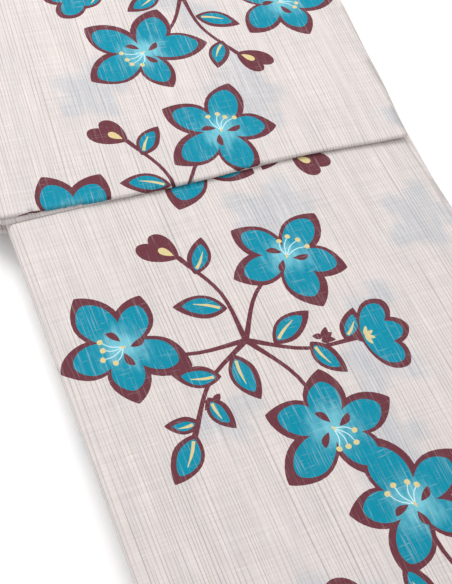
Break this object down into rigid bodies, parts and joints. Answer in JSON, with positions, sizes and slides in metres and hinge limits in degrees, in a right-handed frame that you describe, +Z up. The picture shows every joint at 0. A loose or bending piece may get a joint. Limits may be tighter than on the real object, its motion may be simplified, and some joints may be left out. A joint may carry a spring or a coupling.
{
  "type": "folded cotton yukata",
  "caption": "Cotton yukata folded flat into a doubled strip, with a sleeve folded back over the body; pale striped ground with a flower and vine print.",
  "frame": {"origin": "on the surface it lies on, under the middle of its outline", "axes": "+X across the strip from the centre back to the side seams, +Y along it to the shoulders, +Z up"},
  "size_m": [0.364, 0.87, 0.0275],
  "materials": {
    "back_right": "printed yukata cotton, outer face",
    "front_right": "printed yukata cotton",
    "overlap_panels": "printed yukata cotton, folded layers",
    "front_left": "printed yukata cotton",
    "back_left": "printed yukata cotton",
    "sleeve_right": "printed yukata cotton, outer face",
    "sleeve_left": "printed yukata cotton",
    "collar": "printed yukata cotton, doubled band",
    "over_collar": "printed yukata cotton, doubled band"
  },
  "bodies": {
    "root": {"back_right": "back_right", "front_right": "front_right", "overlap_panels": "overlap_panels", "front_left": "front_left", "back_left": "back_left", "sleeve_right": "sleeve_right", "sleeve_left": "sleeve_left", "collar": "collar", "over_collar": "over_collar"}
  },
  "joints": []
}
